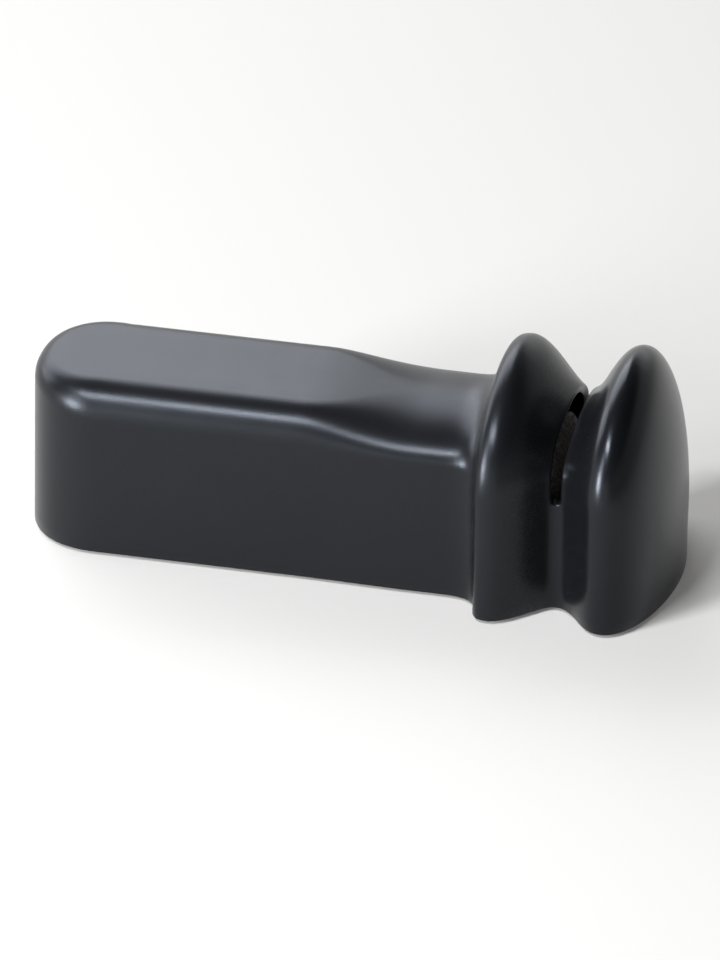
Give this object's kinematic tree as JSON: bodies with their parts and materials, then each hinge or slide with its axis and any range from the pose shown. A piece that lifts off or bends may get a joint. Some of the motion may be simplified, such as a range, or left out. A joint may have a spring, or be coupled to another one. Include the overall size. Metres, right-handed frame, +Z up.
{
  "type": "knife sharpener",
  "caption": "Roll-through knife sharpener with a moulded handle and a humped head whose knife groove has a slit over bevelled grinding rings on an axle.",
  "frame": {"origin": "middle of the footprint's bounding box, on the surface the feet stand on", "axes": "+X along the length from the handle's rear end to the head, +Y to the left, +Z up"},
  "size_m": [0.15, 0.06, 0.054],
  "materials": {
    "housing": "black moulded plastic, fine grain, satin",
    "cover": "black moulded plastic, coarser grain, matte",
    "abrasive": "fine diamond grit bonded on a ring, matte",
    "hub": "dark grey moulded plastic",
    "steel": "turned and ground steel",
    "bearing": "natural bearing plastic, satin",
    "rubber": "black rubber, matte"
  },
  "bodies": {
    "housing": {"body_shell": "housing", "base_cover": "cover", "rear_thrust_washer": "bearing", "rear_bush": "bearing", "front_thrust_washer": "bearing", "front_bush": "bearing", "cover_screw_tail": "steel", "cover_screw_waist": "steel", "cover_screw_front_left": "steel", "cover_screw_front_right": "steel", "foot_rear_left": "rubber", "foot_rear_right": "rubber", "foot_front_left": "rubber", "foot_front_right": "rubber"},
    "wheel_set": {"axle": "steel", "hub_spacer": "steel", "rear_grinding_ring": "abrasive", "rear_wheel_hub": "hub", "rear_axle_clip": "steel", "front_grinding_ring": "abrasive", "front_wheel_hub": "hub", "front_axle_clip": "steel"}
  },
  "joints": [
    {"name": "wheel_spin", "type": "hinge", "parent": "housing", "child": "wheel_set", "pos_m": [0.05, 0, 0.02116], "axis": [1, 0, 0], "continuous": true}
  ]
}
